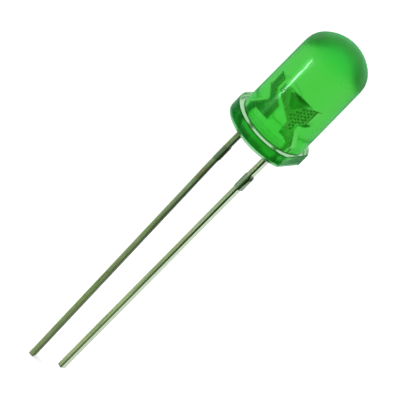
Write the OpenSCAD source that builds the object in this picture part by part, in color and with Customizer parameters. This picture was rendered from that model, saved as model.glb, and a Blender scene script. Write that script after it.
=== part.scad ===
// Round 5 mm through-hole LED: a tinted, diffused epoxy case cast around a two-part stamped lead frame.
//
// +Z runs up the lens axis to the dome, and the leads run down. The origin is on that axis, in the plane of the
// lip under the flange, which seats on the board. The two leads stand on the X axis: the anode at -X, and the
// cathode at +X, on the same side as the flat on the flange. The frame's sheet lies in the XZ plane.

/* [Case] */
// Diameter of the lens barrel
lens_d = 5; // [4.6:0.1:6]
// Height of the top of the dome above the seating plane
lens_h = 8.9; // [7.4:0.1:12]
// Height of the domed end alone
dome_h = 1.83; // [1.5:0.01:2.2]
// Radius of the shoulder that blends the barrel into the crown of the dome
shoulder_r = 1.25; // [1:0.05:1.4]
// How far the flange stands out from the barrel
flange_rim = 0.45; // [0.3:0.05:0.8]
// Thickness of the flange
flange_h = 1; // [0.8:0.05:1.2]
// How far the flat on the flange stands out from the barrel
flat_ledge = 0.12; // [0.05:0.01:0.2]
// Radius of the flange's moulded edges
flange_round = 0.1; // [0.04:0.01:0.12]
// Width of the lip around the flange's underside
lip_w = 0.2; // [0.16:0.01:0.3]
// Height of the lip
lip_h = 0.18; // [0.1:0.01:0.25]
// How much higher the underside is at its middle than just inside the lip
dish = 0.27; // [0.1:0.01:0.35]

/* [Leads] */
// Thickness of the sheet that the lead frame is stamped from
sheet_t = 0.5; // [0.4:0.02:0.6]
// Width of each lead
lead_w = 0.4; // [0.33:0.01:0.5]
// Distance between the centres of the two leads at the flange
lead_pitch = 2.54; // [2.2:0.01:3.1]
// Length of the anode lead below the seating plane
anode_len = 23.2; // [15:0.1:30]
// Length of the cathode lead below the seating plane
cathode_len = 22; // [14:0.1:29]
// Angle by which the anode lead leans in towards the cathode lead
anode_lean = 1.1; // [0:0.1:2]
// Depth of the tie bar's stubs below the seating plane
stub_depth = 2.6; // [2.1:0.1:4]
// Height of the tie bar's stubs along the lead
stub_h = 1.15; // [0.8:0.05:1.6]
// How far the stub stands out on the cathode lead's outer side
stub_outer = 0.1; // [0.05:0.01:0.2]
// How far a stub stands out on the side that faces the other lead
stub_inner = 0.05; // [0.02:0.01:0.1]

/* [Anode post] */
// Distance from the lens axis to the inner edge of the post's foot
foot_gap = 0.36; // [0.3:0.01:0.5]
// Height of the underside of the foot
foot_z = 1.3; // [1.15:0.05:1.5]
// Height of the foot's upper inner corner
foot_top_z = 2.65; // [2.4:0.05:2.8]
// Height at which the lead's outer edge turns in to the waist
notch_z = 1.18; // [1.05:0.01:1.3]
// Height of the middle of the waist
waist_z = 2.42; // [2.1:0.02:2.5]
// Height of the waist's straight edge
waist_h = 0.2; // [0.1:0.02:0.3]
// Depth of the notch that makes the waist, from the lead's outer edge
waist_in = 0.59; // [0.4:0.01:0.65]
// Height of the foot of the post's outer edge
post_outer_z = 3.22; // [3:0.02:3.4]
// Height of the foot of the post's inner edge
post_inner_z = 3.4; // [3.2:0.02:3.6]
// Width of the post that the wire is bonded to
post_w = 0.3; // [0.2:0.01:0.34]
// Height of the post's outer corner
post_h = 4.38; // [3.9:0.02:4.8]
// How much lower the post's inner corner is
post_drop = 0.18; // [0:0.01:0.3]

/* [Cathode anvil] */
// Distance from the lens axis to the anvil's inner edge
anvil_in = 0.75; // [0.7:0.01:0.8]
// Distance from the lens axis to the anvil's outer edge
anvil_out = 1.21; // [1:0.01:1.4]
// Height of the anvil's outer corner
anvil_h = 4.42; // [4.22:0.02:4.8]
// How far the anvil's inner corner is below the cup's rim
anvil_drop = 0.08; // [0:0.01:0.15]
// Height of the foot of the anvil's inner edge
anvil_inner_z = 3.44; // [3.2:0.02:3.6]
// Height of the foot of the anvil's outer edge
anvil_outer_z = 3.16; // [2.9:0.02:3.4]
// Distance from the lens axis to the near side of the neck
neck_x = 0.36; // [0.2:0.01:0.45]
// Width of the neck
neck_w = 0.57; // [0.45:0.01:0.65]
// Height of the middle of the neck
neck_z = 2.5; // [2.3:0.05:2.6]
// Height of the neck's straight outer edge
neck_h = 0.44; // [0.3:0.02:0.6]
// Height at which the lead's outer edge turns in to the neck
lead_top_z = 1.3; // [1.1:0.02:1.4]
// Height of the underside of the stem
stem_z = 1.4; // [1.25:0.05:1.5]
// Radius of the bend under the stem
stem_r = 0.4; // [0.2:0.02:0.5]
// Radius of the stamped corners of the frame
corner_r = 0.08; // [0.03:0.01:0.1]

/* [Reflector cup] */
// Offset of the cup from the lens axis
cup_x = 0.05; // [0:0.01:0.1]
// Height of the cup's rim
rim_z = 4.15; // [4:0.05:4.2]
// Diameter of the cup's mouth
cup_d = 0.89; // [0.75:0.01:1.08]
// Diameter of the cup's floor
cup_floor_d = 0.54; // [0.46:0.01:0.66]
// Depth of the cup
cup_depth = 0.4; // [0.33:0.01:0.5]
// Thickness of the cup's wall at the rim
cup_wall = 0.15; // [0.12:0.01:0.18]
// Height of the bulge that the cup makes in the sheet
bulge_h = 1.05; // [0.85:0.05:1.25]

/* [Chip and wire] */
// Side of the square chip
die_w = 0.28; // [0.2:0.01:0.34]
// Height of the chip
die_h = 0.18; // [0.12:0.01:0.25]
// Diameter of the spot of silver adhesive under the chip
attach_d = 0.46; // [0.4:0.01:0.5]
// Thickness of the adhesive
attach_t = 0.03; // [0.02:0.01:0.04]
// Diameter of the contact pad on top of the chip
pad_d = 0.12; // [0.08:0.01:0.15]
// Thickness of the contact pad
pad_t = 0.02; // [0.01:0.01:0.03]
// Diameter of the bond wire
wire_d = 0.03; // [0.025:0.005:0.04]
// Diameter of the ball at the chip end of the wire
ball_d = 0.08; // [0.05:0.01:0.1]
// Height of the ball
ball_h = 0.04; // [0.02:0.01:0.05]
// How far the control points of the wire's arch stand above its ends
wire_rise = 0.5; // [0.3:0.05:0.7]

/* [Hidden] */
$fn = 96;
wire_sides = 8;
wire_rings = 18;
corner_steps = 4;
foot_slope = 0.07; // rise of the foot's underside to each side of its middle
stem_drop = 0.05; // fall of the stem's underside towards the lead
neck_low = 0.1; // how far the foot of the neck's inner edge is below the neck's middle
wire_bow = 0.3; // how far the wire's arch leans out over the post
sink = 0.0005; // how far the crown's circle keeps inside the shoulder's, so that they cross at one clean point
cut = 1; // overshoot of a cutting solid past the face it cuts

lens_r = lens_d / 2;
barrel_top = lens_h - dome_h;
blend_r = shoulder_r - sink;
crown_r = (pow(lens_r - shoulder_r, 2) + pow(dome_h, 2) - pow(blend_r, 2)) / (2 * (dome_h - blend_r));
crown_z = lens_h - crown_r;
flange_r = lens_r + flange_rim;
flat_x = lens_r + flat_ledge;
hollow_r = flange_r - lip_w;
dish_r = (pow(hollow_r, 2) + pow(dish, 2)) / (2 * dish);

lead_x = lead_pitch / 2;
lead_half = lead_w / 2;
stub_end = stub_depth + stub_h;
post_x = -lead_x + post_w / 2; // the post stands over the lead, flush with its centre line
post_mid_z = post_h - post_drop / 2;

cup_floor_z = rim_z - cup_depth;
die_z = cup_floor_z + attach_t;
pad_z = die_z + die_h;
ball_z = pad_z + pad_t;

// Points of an arc of radius r that rounds corner b of the outline a, b, c
function unit(v) = v / norm(v);
function corner(a, b, c, r) =
    let (
        to_a = unit(a - b),
        to_c = unit(c - b),
        half = acos(max(-1, min(1, to_a * to_c))) / 2,
        back = min(r / tan(half), 0.45 * norm(a - b), 0.45 * norm(c - b)),
        arc_r = back * tan(half),
        centre = b + unit(to_a + to_c) * arc_r / sin(half),
        start = b + to_a * back - centre,
        end = b + to_c * back - centre
    )
    [for (i = [0:corner_steps]) centre + arc_r * unit(start * (corner_steps - i) + end * i)];

// A run of an outline, given as [x, z] or [x, z, radius], with its corners rounded apart from its two ends
function flat(p) = [p.x, p.y];
function radius(p) = len(p) == 3 ? p.z : corner_r;
function rounded(points) =
    let (last = len(points) - 1)
    concat(
        [points[0]],
        [for (i = [1:last - 1])
            each corner(flat(points[i - 1]), flat(points[i]), flat(points[i + 1]), radius(points[i]))],
        [points[last]]
    );

// A stamped piece of the frame's sheet, from its outline in X and Z
module stamped(outline) {
    rotate([90, 0, 0])
        linear_extrude(sheet_t, center = true)
            polygon(outline);
}

// Outline of the anode: the post on its foot, the straight run through the flange and the leaning lead
function anode_outline() =
    let (
        out = -lead_x - lead_half,
        in = -lead_x + lead_half,
        down = [sin(anode_lean), -cos(anode_lean)],
        side = [cos(anode_lean), sin(anode_lean)],
        knee = [-lead_x, -stub_end],
        tip = knee + down * (anode_len - stub_end) / cos(anode_lean)
    )
    concat(
        rounded([
            [in, -stub_depth],
            [in, foot_z - foot_slope],
            [-foot_gap, foot_z + foot_slope],
            [-foot_gap, foot_top_z],
            [post_x + post_w / 2, post_inner_z],
            [post_x + post_w / 2, post_h - post_drop],
            [post_x - post_w / 2, post_h],
            [post_x - post_w / 2, post_outer_z],
            [out + waist_in, waist_z + waist_h / 2],
            [out + waist_in, waist_z - waist_h / 2],
            [out, notch_z],
            [out, -stub_end]
        ]),
        [
            tip - side * lead_half,
            tip + side * lead_half,
            [in, -stub_end],
            [in + stub_inner, -stub_end],
            [in + stub_inner, -stub_depth]
        ]
    );

// Outline of the cathode: the anvil on its neck, the stem that steps out to the lead, and the lead
function cathode_outline() =
    let (
        in = lead_x - lead_half,
        out = lead_x + lead_half
    )
    concat(
        rounded([
            [out, -stub_depth],
            [out, lead_top_z],
            [neck_x + neck_w, neck_z - neck_h / 2],
            [neck_x + neck_w, neck_z + neck_h / 2],
            [anvil_out, anvil_outer_z],
            [anvil_out, anvil_h],
            [cup_x + cup_d / 2 + cup_wall, rim_z],
            [-anvil_in, rim_z - anvil_drop],
            [-anvil_in, anvil_inner_z],
            [neck_x, neck_z - neck_low],
            [neck_x, stem_z],
            [in, stem_z - stem_drop, stem_r],
            [in, -stub_depth]
        ]),
        [
            [in - stub_inner, -stub_depth],
            [in - stub_inner, -stub_end],
            [in, -stub_end],
            [in, -cathode_len],
            [out, -cathode_len],
            [out, -stub_end],
            [out + stub_outer, -stub_end],
            [out + stub_outer, -stub_depth]
        ]
    );

// Half section of the case in radius and height: flange, barrel and two-arc dome
module case_section() {
    crown_slope = atan2(barrel_top - crown_z, lens_r - shoulder_r);
    square([lens_r, barrel_top]);
    square([flange_r - flange_round, flange_h]);
    translate([0, flange_round]) square([flange_r, flange_h - 2 * flange_round]);
    for (z = [flange_round, flange_h - flange_round])
        translate([flange_r - flange_round, z]) circle(flange_round);
    intersection() {
        union() {
            translate([lens_r - shoulder_r, barrel_top]) circle(shoulder_r);
            intersection() {
                translate([0, crown_z]) circle(crown_r);
                polygon([
                    [0, crown_z],
                    [lens_h * cos(crown_slope), crown_z + lens_h * sin(crown_slope)],
                    [0, crown_z + lens_h]
                ]);
            }
        }
        square([lens_r, lens_h]);
    }
}

// The bulge of the reflector cup, tapering down into the sheet
module cup_bulge() {
    translate([cup_x, 0, 0])
        rotate_extrude()
            polygon([
                [0, rim_z - bulge_h],
                [sheet_t / 2, rim_z - bulge_h],
                [cup_d / 2 + cup_wall, rim_z],
                [0, rim_z]
            ]);
}

// The hollow of the cup, from its floor to above the sheet's top edge
module cup_hollow() {
    flare = (cup_d - cup_floor_d) / 2 / cup_depth;
    translate([cup_x, 0, 0])
        rotate_extrude()
            polygon([
                [0, cup_floor_z],
                [cup_floor_d / 2, cup_floor_z],
                [cup_d / 2 + flare * cut, rim_z + cut],
                [0, rim_z + cut]
            ]);
}

// Point u of the way along the wire's arch, from the ball on the chip to the top of the post
function wire_point(u) =
    let (
        a = [cup_x, ball_z + ball_h / 2],
        b = a + [0, wire_rise],
        d = [post_x, post_mid_z - wire_d],
        c = d + [wire_bow, wire_rise]
    )
    pow(1 - u, 3) * a + 3 * u * pow(1 - u, 2) * b + 3 * u * u * (1 - u) * c + pow(u, 3) * d;

// A round wire swept along the arch, with one ring of corners at each step
module wire_sweep() {
    step = 1 / (wire_rings - 1);
    rings = [for (i = [0:wire_rings - 1])
        let (
            u = i * step,
            at = wire_point(u),
            along = unit(wire_point(min(1, u + step / 9)) - wire_point(max(0, u - step / 9)))
        )
        for (k = [0:wire_sides - 1])
            let (
                side = wire_d / 2 * cos(k * 360 / wire_sides),
                lift = wire_d / 2 * sin(k * 360 / wire_sides)
            )
            [at.x - along.y * lift, side, at.y + along.x * lift]
    ];
    last = (wire_rings - 1) * wire_sides;
    faces = concat(
        [[for (k = [0:wire_sides - 1]) k]],
        [for (i = [0:wire_rings - 2])
            for (k = [0:wire_sides - 1])
                let (
                    here = i * wire_sides + k,
                    next = i * wire_sides + (k + 1) % wire_sides
                )
                [here, here + wire_sides, next + wire_sides, next]
        ],
        [[for (k = [wire_sides - 1:-1:0]) last + k]]
    );
    polyhedron(rings, faces);
}

module anode_lead() {
    color("darkseagreen")
        stamped(anode_outline());
}

module cathode_lead() {
    color("darkseagreen")
        difference() {
            union() {
                stamped(cathode_outline());
                cup_bulge();
            }
            cup_hollow();
        }
}

module chip_adhesive() {
    color("silver")
        translate([cup_x, 0, cup_floor_z])
            cylinder(h = attach_t, d = attach_d);
}

module led_chip() {
    color("olive")
        translate([cup_x - die_w / 2, -die_w / 2, die_z])
            cube([die_w, die_w, die_h]);
}

module contact_pad() {
    color("gold")
        translate([cup_x, 0, pad_z])
            cylinder(h = pad_t, d = pad_d);
}

module bond_wire() {
    color("gold")
        difference() {
            union() {
                wire_sweep();
                translate([cup_x, 0, ball_z])
                    cylinder(h = ball_h, d = ball_d);
            }
            stamped(anode_outline());
        }
}

// The shallow dish in the flange's underside, which leaves a lip around it to stand on the board
module underside_hollow() {
    intersection() {
        translate([0, 0, -cut])
            cylinder(h = cut + flange_h, r = hollow_r);
        translate([flat_x - lip_w - 2 * hollow_r, -hollow_r, -cut])
            cube([2 * hollow_r, 2 * hollow_r, cut + flange_h]);
        translate([0, 0, lip_h + dish - dish_r])
            sphere(dish_r);
    }
}

// The case fills every space that the frame, the chip and the wire leave
module epoxy_case() {
    color([0.25, 0.75, 0.25, 0.7])
        difference() {
            rotate_extrude() case_section();
            translate([flat_x, -flange_r - cut, -cut])
                cube([flange_r, 2 * (flange_r + cut), flange_h + 2 * cut]);
            underside_hollow();
            anode_lead();
            cathode_lead();
            chip_adhesive();
            led_chip();
            contact_pad();
            bond_wire();
        }
}

epoxy_case();
anode_lead();
cathode_lead();
led_chip();
contact_pad();
chip_adhesive();
bond_wire();
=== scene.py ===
"""Round 5 mm through-hole LED: a tinted, lightly diffused epoxy case on a stamped, tinned lead frame."""

import math

import bmesh
import bpy
from mathutils import Matrix, Vector
from mathutils.bvhtree import BVHTree


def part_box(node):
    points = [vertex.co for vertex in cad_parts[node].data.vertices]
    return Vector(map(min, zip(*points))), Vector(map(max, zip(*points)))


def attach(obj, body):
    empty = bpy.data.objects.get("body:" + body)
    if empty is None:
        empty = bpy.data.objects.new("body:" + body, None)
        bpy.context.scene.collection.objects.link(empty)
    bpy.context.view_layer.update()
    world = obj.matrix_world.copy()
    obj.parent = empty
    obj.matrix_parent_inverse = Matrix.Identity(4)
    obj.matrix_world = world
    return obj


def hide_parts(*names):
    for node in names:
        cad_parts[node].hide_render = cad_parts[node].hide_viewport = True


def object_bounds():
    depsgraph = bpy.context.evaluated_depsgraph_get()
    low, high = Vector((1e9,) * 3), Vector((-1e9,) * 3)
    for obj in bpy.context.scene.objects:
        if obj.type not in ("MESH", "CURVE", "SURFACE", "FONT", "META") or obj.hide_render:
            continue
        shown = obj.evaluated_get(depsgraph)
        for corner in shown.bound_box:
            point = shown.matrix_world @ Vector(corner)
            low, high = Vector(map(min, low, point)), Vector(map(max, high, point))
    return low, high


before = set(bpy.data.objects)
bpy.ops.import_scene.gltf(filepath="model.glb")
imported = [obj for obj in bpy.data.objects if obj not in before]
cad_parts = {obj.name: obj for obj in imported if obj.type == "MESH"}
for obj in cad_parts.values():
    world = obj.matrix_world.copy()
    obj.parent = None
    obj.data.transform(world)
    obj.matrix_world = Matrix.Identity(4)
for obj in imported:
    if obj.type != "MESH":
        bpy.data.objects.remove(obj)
CAD_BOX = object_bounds()

MM = 0.001
TAU = 2 * math.pi
SAME, WELD = 1e-6, 1e-7     # places nearer than the first are one place, and vertices nearer than the second are joined
CLOSE = 0.01 * MM           # how near a vertex has to be to belong to a side or a height

# Sizes that part.scad states. +X is the side of the cathode and the flat, and -Y is the front.
SHEET = 0.5 * MM                                # thickness of the stamped sheet
FLANGE_H = 1.0 * MM
BARREL_R = 2.5 * MM
CUP_X, CUP_R = 0.05 * MM, 0.445 * MM            # middle and radius of the reflector cup
LEAD_X = 1.27 * MM                              # middle of each lead, left and right
LEAD_HALF = 0.2 * MM
LEAN = math.tan(math.radians(1.1))              # of the anode lead, below its stub
STUB_TOP, STUB_END = -2.6 * MM, -3.75 * MM      # ends of the tie bar's stubs on the leads

# The real leads are never quite square or in line: each is turned about its own axis, and stands aside by the
# first distance under the case and the second near its tip.
TWIST = {"anode_lead": math.radians(9), "cathode_lead": math.radians(-13)}
ASIDE = {"anode_lead": (-0.035 * MM, 0.02 * MM), "cathode_lead": (-0.06 * MM, -0.105 * MM)}
ASIDE_FROM, ASIDE_TIP = -2 * MM, -20 * MM       # heights below which a lead stands aside, and of the second distance
TURN_TOP, TURN_END = 0.75 * MM, 0.5 * MM        # heights in the resin between which the turn is taken up
STUB_SLOPE = 0.1 * MM                           # how far each end of a stub runs out along the lead
STUB_CLEAR = 0.12 * MM                          # distance from the stubs' ends to the cuts that keep them crisp
LEAD_ROLL = 0.72                                # rounding of the leads' edges as a share of the frame's

# ---------------------------------------------------------------- scene and node helpers


def add_object(name, data):
    obj = bpy.data.objects.new(name, data)
    bpy.context.scene.collection.objects.link(obj)
    return obj


def new_material(name):
    mat = bpy.data.materials.new(name)
    mat.use_nodes = True
    tree = mat.node_tree
    tree.nodes.clear()
    return mat, tree, tree.nodes.new("ShaderNodeOutputMaterial")


def link(tree, a, b):
    tree.links.new(a, b)


def node(tree, kind, inputs=None, **settings):
    """A new node with its settings; each of its inputs is given as a socket to link or a value to set."""
    new = tree.nodes.new(kind)
    for key, value in settings.items():
        setattr(new, key, value)
    for key, value in (inputs or {}).items():
        if isinstance(value, bpy.types.NodeSocket):
            link(tree, value, new.inputs[key])
        else:
            new.inputs[key].default_value = value
    return new


def mixed(tree, factor, a, b):
    """A colour that goes from a to b as the factor goes from 0 to 1."""
    return node(tree, "ShaderNodeMix", {0: factor, 6: a, 7: b}, data_type="RGBA").outputs[2]


def layered(tree, base, *layers):
    """Colours laid over a base in turn, each given as where it shows and the colour."""
    for where, colour in layers:
        base = mixed(tree, where, base, colour)
    return base


def maths(tree, op, result, *others):
    """An operation carried on through the values."""
    for value in others:
        result = node(tree, "ShaderNodeMath", {0: result, 1: value}, operation=op).outputs[0]
    return result


def product(tree, *values):
    return maths(tree, "MULTIPLY", *values)


def total(tree, *values):
    return maths(tree, "ADD", *values)


def largest(tree, *values):
    return maths(tree, "MAXIMUM", *values)


def size_of(tree, value):
    return node(tree, "ShaderNodeMath", {0: value}, operation="ABSOLUTE").outputs[0]


def inverse(tree, share):
    return maths(tree, "SUBTRACT", 1, share)


def smooth_step(tree, value, start, end, low=0.0, high=1.0):
    """Eases from low to high as the value goes from start to end."""
    limits = {"Value": value, "From Min": start, "From Max": end, "To Min": low, "To Max": high}
    return node(tree, "ShaderNodeMapRange", limits, interpolation_type="SMOOTHSTEP").outputs[0]


def band(tree, value, start, full, end, gone):
    """1 from full to end, easing down to 0 at start and at gone."""
    return product(tree, smooth_step(tree, value, start, full), smooth_step(tree, value, gone, end))


def grey(level):
    return (level, level, level)


def ramp(tree, factor, *stops):
    """A colour ramp through the stops, each given as its position and colour."""
    new = node(tree, "ShaderNodeValToRGB", {0: factor})
    elements = new.color_ramp.elements
    while len(elements) < len(stops):
        elements.new(0.5)
    for element, (position, colour) in zip(elements, stops):
        element.position = position
        element.color = (*colour, 1)
    return new.outputs[0]


def noise(tree, coords, scale, detail, rough=0.5, stretch=(1, 1, 1)):
    """Noise whose scale counts in millimetres of the part's own space."""
    place = node(tree, "ShaderNodeMapping", {"Scale": [1000 * s for s in stretch], "Vector": coords})
    inputs = {"Scale": scale, "Detail": detail, "Roughness": rough, "Vector": place.outputs[0]}
    return node(tree, "ShaderNodeTexNoise", inputs).outputs["Fac"]


def bump(tree, height, strength, distance):
    return node(tree, "ShaderNodeBump", {"Strength": strength, "Distance": distance, "Height": height}).outputs[0]


def axes(tree, vector):
    """The vector's X, Y and Z."""
    return node(tree, "ShaderNodeSeparateXYZ", {0: vector}).outputs


def length(tree, vector):
    return node(tree, "ShaderNodeVectorMath", {0: vector}, operation="LENGTH").outputs["Value"]


def own_space(tree):
    return node(tree, "ShaderNodeTexCoord").outputs["Object"]


def surface_normal(tree):
    return axes(tree, node(tree, "ShaderNodeNewGeometry").outputs["Normal"])


# ---------------------------------------------------------------- materials


ROUGH_LOW, ROUGH_SHOULDER, ROUGH_DOME = 0.14, 0.24, 0.45    # of the case: barrel, shoulder and top of the dome
ROUGH_FLAT = 0.08                                           # added on the flat
SHOULDER_FROM, SHOULDER_Z = 4.6 * MM, 7.0 * MM              # heights over which the barrel turns duller
FLAT_FROM, FLAT_TO = 2.59 * MM, 2.61 * MM                   # X beyond which the surface is the flat
CUP_Z = 3.6 * MM                                            # a height just under the floor of the cup


def epoxy():
    """Tinted resin: polished on the barrel, duller and greener over the dome, with painted shade in its moulded corners
    and on the flange's rim, and a painted highlight on the flange's top.
    """
    mat, t, out = new_material("tinted_epoxy")
    at = own_space(t)
    x, y, z = axes(t, at)
    level = size_of(t, surface_normal(t)[2])
    cloud = noise(t, at, 0.5, 2)
    haze = noise(t, at, 3.0, 2)
    front = smooth_step(t, y, 0.6 * MM, -0.6 * MM)
    flat = smooth_step(t, x, FLAT_FROM, FLAT_TO)

    foot = FLANGE_H, FLANGE_H + 0.015 * MM, FLANGE_H + 0.08 * MM, FLANGE_H + 0.12 * MM
    edge = FLANGE_H - 0.11 * MM, FLANGE_H - 0.08 * MM, FLANGE_H, FLANGE_H + 0.02 * MM
    # painted shade in the corner round the barrel's foot, in front only
    foot_shade = product(t, band(t, z, *foot), front)
    # painted shade on the flange's rounded top edge
    rounded = product(t, band(t, level, 0.05, 0.3, 0.8, 0.93), band(t, z, *edge))
    # painted highlight on the flange's top
    ledge = product(t, smooth_step(t, level, 0.9, 0.97),
                    smooth_step(t, z, FLANGE_H + 0.1 * MM, FLANGE_H + 0.05 * MM))
    # painted shade on the flange's rim, in front only
    wall = product(t, smooth_step(t, level, 0.5, 0.2),
                   smooth_step(t, z, FLANGE_H - 0.01 * MM, FLANGE_H - 0.06 * MM), front)
    tint = layered(
        t, ramp(t, cloud, (0.3, (0.77, 0.98, 0.76)), (0.7, (0.83, 1.0, 0.82))),
        (smooth_step(t, z, 1.5 * MM, 3.5 * MM), ramp(t, cloud, (0.3, (0.9, 0.98, 0.86)), (0.7, (0.96, 1.0, 0.92)))),
        (foot_shade, (0.06, 0.36, 0.05, 1)),       # painted shade in the corner round the barrel's foot, in front
        (ledge, (0.95, 1.0, 0.95, 1)),          # a painted highlight: the flange's top made paler
        (wall, (0.22, 0.75, 0.3, 1)),           # painted shade on the flange's rim, in front
        (rounded, (0.08, 0.4, 0.06, 1)),        # painted shade on the edge between them
        (flat, (0.75, 1.0, 0.95, 1)),
        (smooth_step(t, z, SHOULDER_Z, 8.4 * MM), (0.22, 1.0, 0.55, 1)))
    rough = total(
        t, product(t, smooth_step(t, z, SHOULDER_FROM, SHOULDER_Z), ROUGH_SHOULDER - ROUGH_LOW),
        product(t, smooth_step(t, z, SHOULDER_Z, 8.5 * MM), ROUGH_DOME - ROUGH_SHOULDER),
        product(t, flat, ROUGH_FLAT), ROUGH_LOW, product(t, haze, 0.02))
    shader = node(t, "ShaderNodeBsdfPrincipled", {
        "Base Color": tint,
        "Roughness": rough,
        "IOR": 1.52,
        "Transmission Weight": 1.0,
        "Specular Tint": (0.25, 0.9, 0.4, 1),
        "Sheen Weight": 0.5,
        "Sheen Roughness": 0.4,
        "Sheen Tint": (0.06, 1.0, 0.3, 1),
        "Coat Weight": 0.25,
        "Coat Roughness": 0.03,
        "Coat IOR": 1.4,
        "Normal": bump(t, noise(t, at, 0.9, 2), 0.0006, 0.1 * MM),
    })
    link(t, shader.outputs[0], out.inputs["Surface"])
    absorb = node(t, "ShaderNodeVolumeAbsorption", {"Color": (0.12, 0.92, 0.08, 1), "Density": 520})
    link(t, absorb.outputs[0], out.inputs["Volume"])
    return mat


def corner_line(t, x, y, z):
    """1 along the front right corner of each lead, where a dark line of shade is painted, worked out from the lead's
    middle and turn.
    """
    by_cathode = smooth_step(t, x, -0.1 * MM, 0.1 * MM)

    def of_lead(anode, cathode):
        return total(t, product(t, by_cathode, cathode - anode), anode)

    near = [ASIDE[lead][0] for lead in TWIST]
    slope = [(ASIDE[lead][1] - ASIDE[lead][0]) / ASIDE_TIP for lead in TWIST]
    lean = product(t, of_lead(LEAN, 0), largest(t, 0, maths(t, "SUBTRACT", STUB_END, z)))
    aside = total(t, lean, product(t, of_lead(*slope), z))
    middle = total(t, of_lead(near[0] - LEAD_X, near[1] + LEAD_X), aside)
    c = of_lead(*(math.cos(turn) for turn in TWIST.values()))
    s = of_lead(*(math.sin(turn) for turn in TWIST.values()))
    off = maths(t, "SUBTRACT", x, middle)
    rightward = total(t, product(t, off, c), product(t, y, s))
    backward = maths(t, "SUBTRACT", product(t, y, c), product(t, off, s))
    from_corner = largest(t, maths(t, "SUBTRACT", LEAD_HALF, rightward), total(t, backward, SHEET / 2))
    return smooth_step(t, from_corner, 0.11 * MM, 0.06 * MM)


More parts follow.
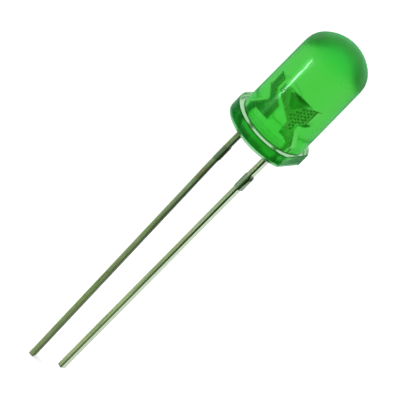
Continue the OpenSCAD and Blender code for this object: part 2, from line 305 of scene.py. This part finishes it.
def tin():
    """Tinned sheet: duller, mottled rolled faces, and brighter sheared edges, with a painted dark line of shade along
    the leads' front right edges and painted shade in the cup, on its bulge and in the pits.
    """
    mat, t, out = new_material("tinned_lead")
    at = own_space(t)
    x, y, z = axes(t, at)
    normal = surface_normal(t)
    facing_y = size_of(t, normal[1])
    depth = size_of(t, y)
    blotch = noise(t, at, 1.1, 4, 0.6, (1, 1, 0.4))
    speck = noise(t, at, 9.0, 3, 0.6, (1, 1, 0.5))
    streak = noise(t, at, 6.0, 2, 0.5, (1, 1, 0.05))
    kept = smooth_step(t, z, 0.0, 0.6 * MM)                 # plating inside the resin has stayed bright
    low = smooth_step(t, z, -4 * MM, -18 * MM)

    # where each thing with its own colour or with painted shade is
    anode = product(t, smooth_step(t, x, -0.34 * MM, -0.36 * MM), kept)
    cathode = product(t, smooth_step(t, x, 0.9 * MM, 1.0 * MM), 0.55)
    stub = band(t, z, STUB_END - STUB_SLOPE, STUB_END, STUB_TOP, STUB_TOP + STUB_SLOPE)
    # painted shade: the anvil's pits are coloured nearly black
    pits = product(t, smooth_step(t, depth, SHEET / 2 - 0.01 * MM, SHEET / 2 - 0.05 * MM),
                   smooth_step(t, x, 0.1 * MM, 0.2 * MM), smooth_step(t, z, 1.9 * MM, 2.0 * MM))
    across = node(t, "ShaderNodeCombineXYZ", {0: maths(t, "SUBTRACT", x, CUP_X), 1: y}).outputs[0]
    # painted shade inside the reflector cup, darker than the sheet round it
    cup = product(t, smooth_step(t, length(t, across), CUP_R, CUP_R - 0.01 * MM),
                  smooth_step(t, normal[2], 0.1, 0.2), smooth_step(t, z, CUP_Z, CUP_Z + 0.1 * MM))
    # painted shade: the cup's bulge and the sheet left of it take a darker colour
    bulge = product(t, smooth_step(t, depth, SHEET / 2 + 0.005 * MM, SHEET / 2 + 0.04 * MM), kept)
    beside_cup = product(t, band(t, x, -0.92 * MM, -0.88 * MM, -0.3 * MM, -0.1 * MM),
                         smooth_step(t, z, 2.8 * MM, 3.2 * MM))
    rolled = largest(t, cup, bulge, smooth_step(t, facing_y, 0.8, 0.96))

    # the rolled faces, from the case to the leads' lower ends and in the resin
    top = ramp(t, blotch, (0.34, (0.56, 0.56, 0.25)), (0.44, (0.54, 0.85, 0.37)), (0.6, (0.66, 1.0, 0.5)))
    end = ramp(t, blotch, (0.34, (0.7, 0.78, 0.33)), (0.44, (0.66, 1.0, 0.36)), (0.6, (0.8, 1.0, 0.5)))
    new = ramp(t, blotch, (0.3, (0.46, 0.64, 0.3)), (0.55, (0.54, 0.72, 0.36)), (0.75, (0.62, 0.78, 0.42)))
    face = layered(
        t, mixed(t, low, top, end),
        (cathode, mixed(t, low, (0.46, 0.57, 0.35, 1), (0.8, 1.0, 0.5, 1))),
        (product(t, stub, 0.6), (0.22, 0.42, 0.28, 1)),
        (kept, mixed(t, anode, new, (0.18, 0.42, 0.16, 1))),
        (ramp(t, speck, (0.36, grey(0.5)), (0.48, grey(0.0))), (0.42, 0.4, 0.19, 1)),       # brown specks
        (ramp(t, streak, (0.36, grey(0.55)), (0.5, grey(0.0))), (0.3, 0.42, 0.2, 1)),       # dull streaks
        (ramp(t, streak, (0.55, grey(0.0)), (0.66, grey(0.3))), (0.85, 0.98, 0.72, 1)),     # bright streaks
        # painted shade in the pits
        (pits, (0.04, 0.07, 0.03, 1)),
        # painted shade in the cup
        (cup, (0.3, 0.5, 0.2, 1)),
        # painted shade on the cup's bulge and beside it
        (product(t, largest(t, bulge, product(t, beside_cup, 0.8)), 0.95), (0.36, 0.62, 0.24, 1)))

    # the sheared edges, and a painted dark line of shade where they turn into the rolled faces, below the case and in
    # the flange
    edge = layered(
        t, ramp(t, speck, (0.3, (0.72, 0.9, 0.62)), (0.6, (0.84, 0.98, 0.76))),
        (kept, (0.7, 0.97, 0.66, 1)),
        (stub, (0.3, 0.42, 0.27, 1)))
    shaded_edge = product(t, smooth_step(t, normal[0], 0.3, 0.55), smooth_step(t, facing_y, 0.2, 0.45),
                   inverse(t, largest(t, bulge, cup)))
    corner = product(t, corner_line(t, x, y, z), inverse(t, kept))
    # painted shade for that line: darkest near the case and lighter towards the tips, dark in the flange and plain
    # above it in the resin
    shaded_edge_colour = mixed(t, low, (0.05, 0.14, 0.03, 1), (0.32, 0.5, 0.18, 1))
    in_flange = smooth_step(t, z, 1.3 * MM, 0.9 * MM)
    shaded_edge_colour = mixed(t, kept, shaded_edge_colour, mixed(t, in_flange, (0.12, 0.3, 0.08, 1), (0.7, 1.0, 0.65, 1)))
    colour = mixed(t, largest(t, product(t, shaded_edge, kept), corner), mixed(t, rolled, edge, face), shaded_edge_colour)

    dull = total(t, product(t, rolled, 0.15), product(t, bulge, 0.2))
    height = total(t, product(t, streak, 0.5), speck)
    shader = node(t, "ShaderNodeBsdfPrincipled", {
        "Base Color": colour,
        "Metallic": 1.0,
        "Roughness": total(t, ramp(t, speck, (0.3, grey(0.15)), (0.65, grey(0.09))), dull),
        "Normal": bump(t, height, 0.2, 0.01 * MM),
    })
    link(t, shader.outputs[0], out.inputs["Surface"])
    return mat


def small_part(name, low, high, metallic, rough, scale):
    """A fine-grained material between two colours."""
    mat, t, out = new_material(name)
    grain = noise(t, own_space(t), scale, 3)
    shader = node(t, "ShaderNodeBsdfPrincipled", {
        "Base Color": ramp(t, grain, (0.3, low), (0.7, high)),
        "Roughness": ramp(t, grain, (0.3, grey(rough * 1.3)), (0.7, grey(rough))),
        "Metallic": metallic,
        "Normal": bump(t, grain, 0.2, 0.002 * MM),
    })
    link(t, shader.outputs[0], out.inputs["Surface"])
    return mat


EPOXY = epoxy()
TIN = tin()
GOLD = small_part("gold", (0.75, 0.48, 0.14), (0.95, 0.68, 0.28), metallic=1.0, rough=0.2, scale=40)
CHIP = small_part("chip", (0.2, 0.24, 0.06), (0.34, 0.38, 0.12), metallic=0.0, rough=0.25, scale=25)
PASTE = small_part("silver_adhesive", (0.45, 0.45, 0.43), (0.75, 0.75, 0.72), metallic=1.0, rough=0.45, scale=60)

# ---------------------------------------------------------------- mesh helpers


SHARP_FROM = math.radians(32)       # edges that bend by more stay sharp on the lead frame


def mesh_of(bm, name):
    bmesh.ops.recalc_face_normals(bm, faces=bm.faces)
    mesh = bpy.data.meshes.new(name)
    bm.to_mesh(mesh)
    bm.free()
    return mesh


def shade_smooth(mesh):
    for poly in mesh.polygons:
        poly.use_smooth = True


def clamp(value):
    return max(0, min(1, value))


# ---------------------------------------------------------------- the lens body

case_low, case_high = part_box("epoxy_case")
FLANGE_R = min(-case_low.x, case_high.y)
FLAT_X = case_high.x
LENS_H = case_high.z
EDGE_R = 0.09 * MM              # moulded edges of the flange
LIP_R = 0.07 * MM               # edge of the underside's lip
LIP_W, LIP_H = 0.2 * MM, 0.18 * MM      # the lip that the resin leaves along the mould's wall
LIP_CURVE = 1.5                 # of the lip's inner side: 1 is a round hollow, and 2 a straight slope
DISH = 0.27 * MM                # how far the cast underside is hollowed inside the lip
FOOT_R = 0.06 * MM              # fillet at the barrel's foot, in front
FOOT_BACK_R = 0.02 * MM         # and behind
DRAFT = 0.012                   # share by which the barrel narrows up to the dome
DOME_H = 1.83 * MM
SHOULDER_R = 1.25 * MM
CORNER_BEND = 60 / MM           # how crisp the corners at the ends of the flat are
LEDGE_ROOM = EDGE_R * 0.99      # how near the barrel's fillet may come to the flange's rim

EASE = 11                       # profile points on either side that each point is averaged with
THIN_BELOW, THIN = 6.4 * MM, 6  # below this height only every sixth point is kept
LINE_STEPS, SHOULDER_STEPS, CROWN_STEPS, FOOT_STEPS = 150, 22, 62, 5
DISH_STEPS, LIP_STEPS, EDGE_STEPS, WALL_STEPS = 24, 7, 6, 9
LEDGE_SHARES = (0.3, 0.6, 0.85)     # places of the rings on the ledge round the barrel
SEGMENTS = 192


def arc(cx, cz, r, a0, a1, n):
    angles = [a0 + (a1 - a0) * i / n for i in range(n + 1)]
    return [(cx + r * math.cos(a), cz + r * math.sin(a)) for a in angles]


def barrel_profile(foot_r):
    """Radius and height from the barrel's foot to just short of the top of the dome."""
    top = LENS_H - DOME_H
    crown_r = ((BARREL_R - SHOULDER_R) ** 2 + DOME_H ** 2 - SHOULDER_R ** 2) / (2 * (DOME_H - SHOULDER_R))
    crown_z = LENS_H - crown_r
    slope = math.atan2(top - crown_z, BARREL_R - SHOULDER_R)
    z0 = FLANGE_H + foot_r
    line = [(BARREL_R, z0 + (top - z0) * i / LINE_STEPS) for i in range(LINE_STEPS)]
    line += arc(BARREL_R - SHOULDER_R, top, SHOULDER_R, 0, slope, SHOULDER_STEPS)
    line += arc(0, crown_z, crown_r, slope, math.pi / 2, CROWN_STEPS)[1:]
    count = len(line)
    line += [(-r, z) for r, z in line[-2:-2 - EASE:-1]]     # past the axis, for the average
    eased = line[:EASE]
    for i in range(EASE, count):
        near = line[i - EASE:i + EASE + 1]
        eased.append((sum(q[0] for q in near) / len(near), sum(q[1] for q in near) / len(near)))
    # the average lowers the dome, so it is stretched back to its height
    grow = (LENS_H - top) / (eased[-1][1] - top)
    lens = [(r, z if z < top else top + (z - top) * grow) for r, z in eased]
    lens = [q for i, q in enumerate(lens[:-1]) if i and (q[1] > THIN_BELOW or i % THIN == 0)]
    points = arc(BARREL_R + foot_r, z0, foot_r, 1.5 * math.pi, math.pi, FOOT_STEPS) + lens
    return [(r * (1 - DRAFT * clamp((z - z0) / (top - z0))), z) for r, z in points]


def flange_edge(angle):
    """Radius of the flange's rim in a direction, with the flat at +X and softened corners."""
    c = math.cos(angle)
    if c <= 0:
        return FLANGE_R
    a, b = FLANGE_R, FLAT_X / c
    m = min(a, b)
    return m - math.log(math.exp(-CORNER_BEND * (a - m)) + math.exp(-CORNER_BEND * (b - m))) / CORNER_BEND


def flange_rings():
    """From the middle of the underside up to the flange's top edge."""
    for i in range(1, DISH_STEPS + 1):
        yield lambda a, s=i / DISH_STEPS: ((flange_edge(a) - LIP_W) * s, LIP_H + DISH * (1 - s * s))
    sides = []      # distance in from the rim, and height
    for i in range(1, LIP_STEPS):
        q = math.pi / 2 * i / LIP_STEPS
        sides.append((LIP_W - (LIP_W - LIP_R) * math.sin(q) ** LIP_CURVE, LIP_H * math.cos(q) ** LIP_CURVE))
    quarter = [math.pi / 2 * i / EDGE_STEPS for i in range(EDGE_STEPS + 1)]
    sides += [(LIP_R * (1 - math.sin(q)), LIP_R * (1 - math.cos(q))) for q in quarter]
    sides += [(0, LIP_R + (FLANGE_H - EDGE_R - LIP_R) * i / WALL_STEPS) for i in range(1, WALL_STEPS)]
    sides += [(EDGE_R * (1 - math.cos(q)), FLANGE_H - EDGE_R * (1 - math.sin(q))) for q in quarter]
    for inset, z in sides:
        yield lambda a, inset=inset, z=z: (flange_edge(a) - inset, z)


def barrel_rings():
    """From the flange's top edge over the ledge, up the barrel and over the dome."""
    front, back = barrel_profile(FOOT_R), barrel_profile(FOOT_BACK_R)
    foot = front[0][0]
    for share in LEDGE_SHARES:
        yield lambda a, s=share: (max(foot, flange_edge(a) - EDGE_R) * (1 - s) + foot * s, FLANGE_H)
    for (r0, z0), (r1, z1) in zip(front, back):
        def ring(a, r0=r0, z0=z0, r1=r1, z1=z1):
            at_back = clamp(0.5 + 1.5 * math.sin(a))        # 0 in front, 1 behind, and between them at the sides
            r, z = r0 + (r1 - r0) * at_back, z0 + (z1 - z0) * at_back
            if r > BARREL_R:        # at the flat there is less room for the fillet than its radius
                r = min(r, max(BARREL_R, flange_edge(a) - LEDGE_ROOM))
            return r, z

        yield ring


def lens_body():
    bm = bmesh.new()
    grid = []
    for ring in [*flange_rings(), *barrel_rings()]:
        row = []
        for k in range(SEGMENTS):
            a = TAU * k / SEGMENTS
            r, z = ring(a)
            row.append(bm.verts.new((r * math.cos(a), r * math.sin(a), z)))
        grid.append(row)
    bottom = bm.verts.new((0, 0, LIP_H + DISH))
    top = bm.verts.new((0, 0, LENS_H))
    steps = [(k, (k + 1) % SEGMENTS) for k in range(SEGMENTS)]
    for lower, upper in zip(grid, grid[1:]):
        for k, j in steps:
            bm.faces.new((lower[k], lower[j], upper[j], upper[k]))
    for k, j in steps:
        bm.faces.new((bottom, grid[0][j], grid[0][k]))
        bm.faces.new((top, grid[-1][k], grid[-1][j]))
    mesh = mesh_of(bm, "lens_body")
    shade_smooth(mesh)
    mesh.materials.append(EPOXY)
    obj = add_object("lens_body", mesh)
    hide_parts("epoxy_case")
    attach(obj, "root")


# ---------------------------------------------------------------- the lead frame

FLAT_JOIN = math.radians(0.5)   # faces that bend by less are joined into one
ROLL_OVER = 0.1 * MM            # rounding of the stamped edges
ROLL_FROM = math.radians(50)    # edges that bend by more are rolled over
ROLL_STEPS = 4
FINE_CORNER = 0.05 * MM         # shorter edges of the outline are joined before it is rolled over,
FINE_ABOVE = STUB_TOP + 0.5 * MM    # above this height

NOTCH_Z, POST_Z = 1.5 * MM, 3.3 * MM        # heights over the foot of the waist, and under the post and the anvil
OUTER_LEFT = -1.5 * MM                      # X left of the whole frame
WAIST_RIGHT, POST_RIGHT = -0.8 * MM, -1.1 * MM      # X right of the outer side of the waist, and of the post
ANVIL_LEFT = -0.8 * MM, -0.72 * MM          # X on either side of the anvil's left side
LEFT_OUT = 0.1 * MM             # how far these sides stand further out than in the CAD
RIM_Z, RIM_DOWN = 4.15 * MM, 0.08 * MM      # height of the cup's rim, and how much lower it really is
CUP_LOW, CUP_LEFT, CUP_RIGHT = 2.6 * MM, -1.0 * MM, 1.1 * MM        # the part of the frame that the cup takes up

KNURL = 0.295 * MM              # spacing of the anvil's pits
KNURL_X, KNURL_Z = 0.705 * MM, 2.451 * MM   # the place that the grid starts from
KNURL_LEFT = 0.1 * MM           # no pits further left
KNURL_CLEAR = 0.09 * MM         # room that each pit needs on the flat sheet
KNURL_COLUMNS, KNURL_ROWS = range(-4, 3), range(-2, 14)
PIT_R, PIT_DEEP, PIT_OVER = 0.075 * MM, 0.1 * MM, 0.02 * MM     # and how far the cutter stands out of the sheet
PIT_SIDES = 8
IN_FRONT = -5 * MM              # Y well in front of the sheet
ON_SHEET = 0.004 * MM           # how near the sheet's plane a place has to be to take a pit


def turn_lead(bm, source):
    """Turns the lead about its own axis from just inside the case down, and sets it a little out of line."""
    above = STUB_TOP + STUB_SLOPE + STUB_CLEAR
    below = STUB_END - STUB_SLOPE - STUB_CLEAR
    for z in (TURN_TOP, TURN_END, above, below):
        parts = bm.verts[:] + bm.edges[:] + bm.faces[:]
        bmesh.ops.bisect_plane(bm, geom=parts, plane_co=(0, 0, z), plane_no=(0, 0, 1))
    c, s = math.cos(TWIST[source]), math.sin(TWIST[source])
    near, tip = ASIDE[source]
    for v in [v for v in bm.verts if v.co.z < TURN_END + SAME]:
        middle = LEAD_X if source == "cathode_lead" else LEAN * max(0, STUB_END - v.co.z) - LEAD_X
        x, y = v.co.x - middle, v.co.y
        if abs(x) < LEAD_HALF + CLOSE:      # the lead's own sides, not the stubs'
            x = math.copysign(LEAD_HALF - (LEAD_HALF - abs(x)) * LEAD_ROLL, x)
        y = math.copysign(SHEET / 2 - (SHEET / 2 - abs(y)) * LEAD_ROLL, y)
        aside = near + (tip - near) * v.co.z / ASIDE_TIP if v.co.z < ASIDE_FROM else 0
        v.co.x, v.co.y = middle + aside + x * c - y * s, x * s + y * c


def slope_stubs(bm):
    """Lets the tie bar's stubs swell out of the lead's sides."""
    for v in bm.verts:
        if abs(abs(v.co.x) - LEAD_X) < LEAD_HALF + CLOSE and v.co.z < 0:
            if abs(v.co.z - STUB_TOP) < SAME:
                v.co.z += STUB_SLOPE
            elif abs(v.co.z - STUB_END) < SAME:
                v.co.z -= STUB_SLOPE


def widen_left(bm, source):
    """Moves the left-hand outline of the inner frame out and the cup's rim down, to where the photo shows them."""
    cathode = source == "cathode_lead"
    for v in bm.verts:
        right = POST_RIGHT if v.co.z > POST_Z else WAIST_RIGHT
        if v.co.z > NOTCH_Z and OUTER_LEFT < v.co.x < right:
            v.co.x -= LEFT_OUT
        elif cathode and v.co.z > POST_Z and ANVIL_LEFT[0] < v.co.x < ANVIL_LEFT[1]:
            v.co.x -= LEFT_OUT
        elif cathode and abs(v.co.z - RIM_Z) < CLOSE:
            v.co.z -= RIM_DOWN


def stamped(name, source):
    """The CAD lead with its flat faces joined, its outline as the photo shows it and its stamped edges rolled over."""
    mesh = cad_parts[source].data.copy()
    mesh.name = name
    bm = bmesh.new()
    bm.from_mesh(mesh)
    bmesh.ops.remove_doubles(bm, verts=bm.verts, dist=WELD)
    bmesh.ops.dissolve_limit(bm, angle_limit=FLAT_JOIN, verts=bm.verts, edges=bm.edges)
    slope_stubs(bm)
    widen_left(bm, source)

    def on_face(v):
        in_cup = v.co.z > CUP_LOW and CUP_LEFT < v.co.x < CUP_RIGHT
        return abs(abs(v.co.y) - SHEET / 2) < SAME and not in_cup

    inner = [v for v in bm.verts if on_face(v) and v.co.z > FINE_ABOVE]
    bmesh.ops.remove_doubles(bm, verts=inner, dist=FINE_CORNER)
    edges = [e for e in bm.edges if all(on_face(v) for v in e.verts) and e.calc_face_angle(0) > ROLL_FROM]
    bmesh.ops.bevel(bm, geom=edges, offset=ROLL_OVER, offset_type="OFFSET", segments=ROLL_STEPS, profile=0.5,
                    affect="EDGES", clamp_overlap=False)
    turn_lead(bm, source)
    bmesh.ops.recalc_face_normals(bm, faces=bm.faces)
    bm.to_mesh(mesh)
    bm.free()
    shade_smooth(mesh)
    mesh.set_sharp_from_angle(angle=SHARP_FROM)
    mesh.materials.clear()
    mesh.materials.append(TIN)
    obj = add_object(name, mesh)
    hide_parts(source)
    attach(obj, "root")
    return obj


def circle(x, z, r):
    angles = [a * TAU / PIT_SIDES for a in range(PIT_SIDES)]
    return [(x + r * math.cos(a), z + r * math.sin(a)) for a in angles]


def pit_places():
    """Places of a diamond grid where the CAD cathode is flat sheet, clear of the cup's bulge."""
    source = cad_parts["cathode_lead"].data
    tree = BVHTree.FromPolygons([v.co for v in source.vertices], [tuple(q.vertices) for q in source.polygons])

    def on_sheet(x, z):
        hit = tree.ray_cast(Vector((x, IN_FRONT, z)), Vector((0, 1, 0)))[0]
        return hit is not None and abs(hit.y + SHEET / 2) < ON_SHEET

    for j in KNURL_ROWS:
        for i in KNURL_COLUMNS:
            x = KNURL_X + (i + 0.5 * (j % 2)) * KNURL
            z = KNURL_Z + j * KNURL / 2
            if x >= KNURL_LEFT and all(on_sheet(*q) for q in circle(x, z, KNURL_CLEAR)):
                yield x, z


def knurl(lead):
    """Presses pits into both faces of the anvil."""
    bm = bmesh.new()
    rim = PIT_R * (PIT_DEEP + PIT_OVER) / PIT_DEEP
    for x, z in pit_places():
        for side in (-1, 1):
            base = [bm.verts.new((bx, side * (SHEET / 2 + PIT_OVER), bz)) for bx, bz in circle(x, z, rim)]
            tip = bm.verts.new((x, side * (SHEET / 2 - PIT_DEEP), z))
            bm.faces.new(base)
            for a, b in zip(base, base[1:] + base[:1]):
                bm.faces.new((a, b, tip))
    pits = add_object("pits", mesh_of(bm, "pits"))
    cut = lead.modifiers.new("knurl", "BOOLEAN")
    cut.operation = "DIFFERENCE"
    cut.solver = "MANIFOLD"
    cut.object = pits
    result = bpy.data.meshes.new_from_object(lead.evaluated_get(bpy.context.evaluated_depsgraph_get()))
    lead.modifiers.clear()
    smooth_lead = lead.data
    lead.data = result
    bpy.data.meshes.remove(smooth_lead)
    bpy.data.objects.remove(pits)
    shade_smooth(result)
    result.set_sharp_from_angle(angle=SHARP_FROM)


lens_body()
stamped("anode", "anode_lead")
knurl(stamped("cathode", "cathode_lead"))

for name, mat in (("led_chip", CHIP), ("contact_pad", GOLD), ("chip_adhesive", PASTE), ("bond_wire", GOLD)):
    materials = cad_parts[name].data.materials
    materials.clear()
    materials.append(mat)

# ---------------------------------------------------------------- camera

ELEVATION = math.radians(25.4)
AZIMUTH = math.radians(19.5)
ROLL = math.radians(45.44)
IMAGE = 400                     # pixels, both ways
PX_PER_MM = 15.45
ORIGIN_PX = (264.5, 135.7)      # where the origin shows
DISTANCE = 0.7                  # from the middle of the view
SENSOR = 36

ce, se, ca, sa = math.cos(ELEVATION), math.sin(ELEVATION), math.cos(AZIMUTH), math.sin(AZIMUTH)
toward = Vector((ce * sa, -ce * ca, se))
right = Vector((ca, sa, 0))
up = Vector((-se * sa, se * ca, ce))
image_x = up * math.cos(ROLL) + right * math.sin(ROLL)
image_y = up * math.sin(ROLL) - right * math.cos(ROLL)
centre = (image_x * (IMAGE / 2 - ORIGIN_PX[0]) - image_y * (IMAGE / 2 - ORIGIN_PX[1])) / PX_PER_MM * MM

camera_data = bpy.data.cameras.new("camera")
camera_data.sensor_width = SENSOR
camera_data.lens = SENSOR * DISTANCE / (IMAGE / PX_PER_MM * MM)
camera_data.clip_start, camera_data.clip_end = 0.01, 50
camera = add_object("camera", camera_data)
camera.matrix_world = Matrix((image_x, image_y, toward)).transposed().to_4x4()
camera.location = centre + toward * DISTANCE
bpy.context.scene.camera = camera

# ---------------------------------------------------------------- studio

WHITE = (1, 1, 1, 1)
UP = Vector((0, 0, 1))
TO_CAMERA = Vector((sa, -ca, 0))
TO_FLAG = (0.85, -0.31, -0.42)  # beside the leads' right-hand edges, and low
AMBIENT = 0.55                  # what lights the object evenly

FRONT, BESIDE, BACK = 0.46, 0.2, 0.6    # brightness of the room in reflections
SKY, FLAG, UNDER = 0.6, 0.5, 0.3        # shares of it that stay overhead, at the flag and straight below
SKY_THROUGH, FRONT_THROUGH = 0.45, 0.75     # brightness through the clear case, overhead and in front

LAMP_SIZE = 0.5
FLOOR_HALF = 1.5
FLOOR_GAP = 0.02 * MM           # between the leads' tips and the floor
FLOOR_GLOW, FAR_GLOW = 0.3, 0.6     # near the object, and added far from it
STRIP, STRIP_HALF = 34.0, 1.2       # strength of the strip light, and half its width in millimetres
STRIP_REACH = 30 * MM           # from the barrel to the strip light
STRIP_RIGHT, STRIP_NEAR = -0.808, 0.590     # its direction, as shares to the right and to the camera,
STRIP_OUT, STRIP_DOWN = 0.903, 0.429        # and outward and down
STRIP_Z = 5.8 * MM              # height on the barrel where its reflection lies
STRIP_FADE = -2.6 * MM, 1.2 * MM    # heights from its middle over which it comes up to its strength
STRIP_BEND = ((-2.6, -2.6), (-1.2, -0.95), (-0.26, -0.12), (0.93, 0.93), (2.4, 0.88), (8.5, 0.7))     # mm up and across
CARD_TOP, CARD_FOOT = -10 * MM, -26 * MM    # heights between which a card's strength changes


def rays(tree, *kinds):
    """1 for the given kinds of ray, else 0."""
    path = node(tree, "ShaderNodeLightPath")
    return largest(tree, *(path.outputs[kind] for kind in kinds))


def room():
    """Plain ambient light; reflections and the clear case show a pale sweep below and behind, and a dimmer room."""
    world = bpy.data.worlds.new("studio")
    bpy.context.scene.world = world
    world.use_nodes = True
    t = world.node_tree
    t.nodes.clear()
    direction = node(t, "ShaderNodeTexCoord").outputs["Generated"]

    def facing(axis, start, end, low, high):
        """low to high as the direction's share along an axis goes from start to end."""
        dot = node(t, "ShaderNodeVectorMath", {0: direction, 1: axis}, operation="DOT_PRODUCT")
        return smooth_step(t, dot.outputs["Value"], start, end, low, high)

    # through the case: dimmer overhead and in front, with a light band high up
    in_front = product(t, facing(TO_CAMERA, 0.1, 0.9, 0.0, 1 - FRONT_THROUGH), facing(UP, -0.55, -0.2, 0.0, 1.0))
    seen = product(t, facing(UP, 0.42, 0.62, 1.0, SKY_THROUGH), inverse(t, in_front))
    light = product(t, facing(UP, 0.64, 0.69, 0.0, 1.0), facing(UP, 0.72, 0.8, 1.0, 0.0))
    seen = product(t, seen, total(t, product(t, light, 0.9), facing(UP, 0.76, 0.87, 1.0, 0.55)))

    # in reflections: darker beside, and right at the camera
    front = product(t, facing(TO_CAMERA, 0.1, 0.6, 0.0, FRONT - BESIDE), facing(TO_CAMERA, 0.87, 0.92, 1.0, 0.1))
    behind = product(t, facing(-TO_CAMERA, 0.38, 0.62, BESIDE, BACK), facing(UP, -0.3, 0.4, 0.5, 2.1))
    shiny = product(t, facing(UP, -0.1, 0.6, 1.0, SKY), total(t, front, behind),
                    facing(TO_FLAG, 0.55, 0.8, 1.0, FLAG), facing(-UP, 0.7, 0.9, 1.0, UNDER))

    through = rays(t, "Is Transmission Ray")
    level = total(t, product(t, through, seen), product(t, inverse(t, through), shiny))
    ambient = node(t, "ShaderNodeBackground", {"Color": WHITE, "Strength": AMBIENT})
    around = node(t, "ShaderNodeBackground", {"Strength": level})
    backdrop = node(t, "ShaderNodeBackground", {"Color": WHITE, "Strength": 1.0})
    clear = rays(t, "Is Transmission Ray", "Is Glossy Ray")
    lit = node(t, "ShaderNodeMixShader", {0: clear, 1: ambient.outputs[0], 2: around.outputs[0]})
    shown = node(t, "ShaderNodeMixShader", {0: rays(t, "Is Camera Ray"), 1: lit.outputs[0], 2: backdrop.outputs[0]})
    node(t, "ShaderNodeOutputWorld", {"Surface": shown.outputs[0]})


def pale_floor():
    """A floor that fades into the white background with distance."""
    h, z = FLOOR_HALF, CAD_BOX[0][2] - FLOOR_GAP
    mesh = bpy.data.meshes.new("floor")
    mesh.from_pydata([(-h, -h, z), (h, -h, z), (h, h, z), (-h, h, z)], [], [(0, 1, 2, 3)])
    floor = add_object("floor", mesh)
    floor.visible_glossy = floor.visible_transmission = False
    mat, t, out = new_material("floor")
    diffuse = node(t, "ShaderNodeBsdfDiffuse", {"Color": (0.8, 0.8, 0.8, 1)})
    far = smooth_step(t, length(t, own_space(t)), 40 * MM, 200 * MM)
    level = total(t, FLOOR_GLOW, product(t, far, FAR_GLOW))
    glow = node(t, "ShaderNodeEmission", {"Strength": product(t, rays(t, "Is Camera Ray"), level)})
    both = node(t, "ShaderNodeAddShader", {0: diffuse.outputs[0], 1: glow.outputs[0]})
    link(t, both.outputs[0], out.inputs["Surface"])
    mesh.materials.append(mat)


def lamp(name, place, power):
    """A soft lamp that shines at the origin and shows in no reflection."""
    data = bpy.data.lights.new(name, "AREA")
    data.shape = "RECTANGLE"
    data.size = data.size_y = LAMP_SIZE
    data.energy = power
    obj = add_object(name, data)
    obj.location = place
    obj.rotation_euler = (-Vector(place)).to_track_quat("-Z", "Y").to_euler()
    obj.visible_camera = obj.visible_glossy = obj.visible_transmission = False


def card(name, corners, strength, low=1.0, fade=None):
    """A light panel that only reflections show.

    Its strength goes over to the share low at its foot. One that fades goes from nothing to its strength between
    the two heights instead, and shows only in reflections straight to the eye.
    """
    mesh = bpy.data.meshes.new(name)
    rows = [(i, i + 1, i + 3, i + 2) for i in range(0, len(corners) - 2, 2)]
    mesh.from_pydata([tuple(c) for c in corners], [], rows)
    obj = add_object(name, mesh)
    mat, t, out = new_material(name)
    level = strength
    if fade:
        first = maths(t, "LESS_THAN", node(t, "ShaderNodeLightPath").outputs["Ray Depth"], 1.5)
        level = product(t, first, product(t, smooth_step(t, axes(t, own_space(t))[2], *fade), strength))
    elif low != 1.0:
        level = node(t, "ShaderNodeMapRange", {
            "Value": axes(t, own_space(t))[2],
            "From Min": CARD_TOP,
            "From Max": CARD_FOOT,
            "To Min": strength,
            "To Max": strength * low,
        }).outputs[0]
    glow = node(t, "ShaderNodeEmission", {"Strength": level})
    link(t, glow.outputs[0], out.inputs["Surface"])
    mesh.materials.append(mat)
    mat.cycles.emission_sampling = "AUTO" if fade else "NONE"
    obj.visible_camera = obj.visible_diffuse = obj.visible_transmission = obj.visible_shadow = False


def upright(middle, side, start, end, foot, top):
    """Corners of an upright card, from start to end along its side and from foot to top, in millimetres."""
    return [middle + side * (i * MM) + UP * (z * MM) for z in (foot, top) for i in (start, end)]


def cards():
    """Everything that only the metal and the case reflect."""
    # white cards behind the leads
    middle = Vector((0.25, 0, 0)) * MM + Vector((0.31, 0.85, 0)) * 12 * MM
    side = Vector((0.94, -0.34, 0))
    card("back_card", upright(middle, side, 0, 10, -32, -5), 0.72, low=0.92)
    card("anode_card", upright(middle, side, -8, 0, -32, -5), 0.14)
    # a dim card whose light shows in the rolled edges of the leads' lower ends
    middle = Vector((0.85, -0.31, 0)) / 0.905 * 14 * MM
    side = Vector((0.31, 0.85, 0)) / 0.905
    card("edge_card", upright(middle, side, -6, 6, -34, -8), 0.13, low=3.1)
    # and to their left
    middle, side = Vector((-14, 0, 0)) * MM, Vector((0, 1, 0))
    card("front_card", upright(middle, side, -22, -9, -36, -11), 0.55)
    card("left_card", upright(middle, side, -6, 14, -34, -7.5), 0.9)

    # a small strip light whose reflection runs down the barrel
    way = (right * STRIP_RIGHT + TO_CAMERA * STRIP_NEAR).normalized()
    across = way.cross(UP).normalized()
    middle = way * (BARREL_R + STRIP_REACH * STRIP_OUT) + UP * (STRIP_Z - STRIP_REACH * STRIP_DOWN)
    corners = [middle + across * (x + i * STRIP_HALF) * MM + UP * (z * MM) for z, x in STRIP_BEND for i in (-1, 1)]
    card("strip", corners, STRIP, fade=[middle.z + step for step in STRIP_FADE])


room()
pale_floor()
lamp("key", (-0.35, -0.25, 0.5), 3.0)
lamp("fill", (0.45, -0.2, 0.35), 1.5)
cards()
bpy.context.scene.view_settings.view_transform = "Standard"
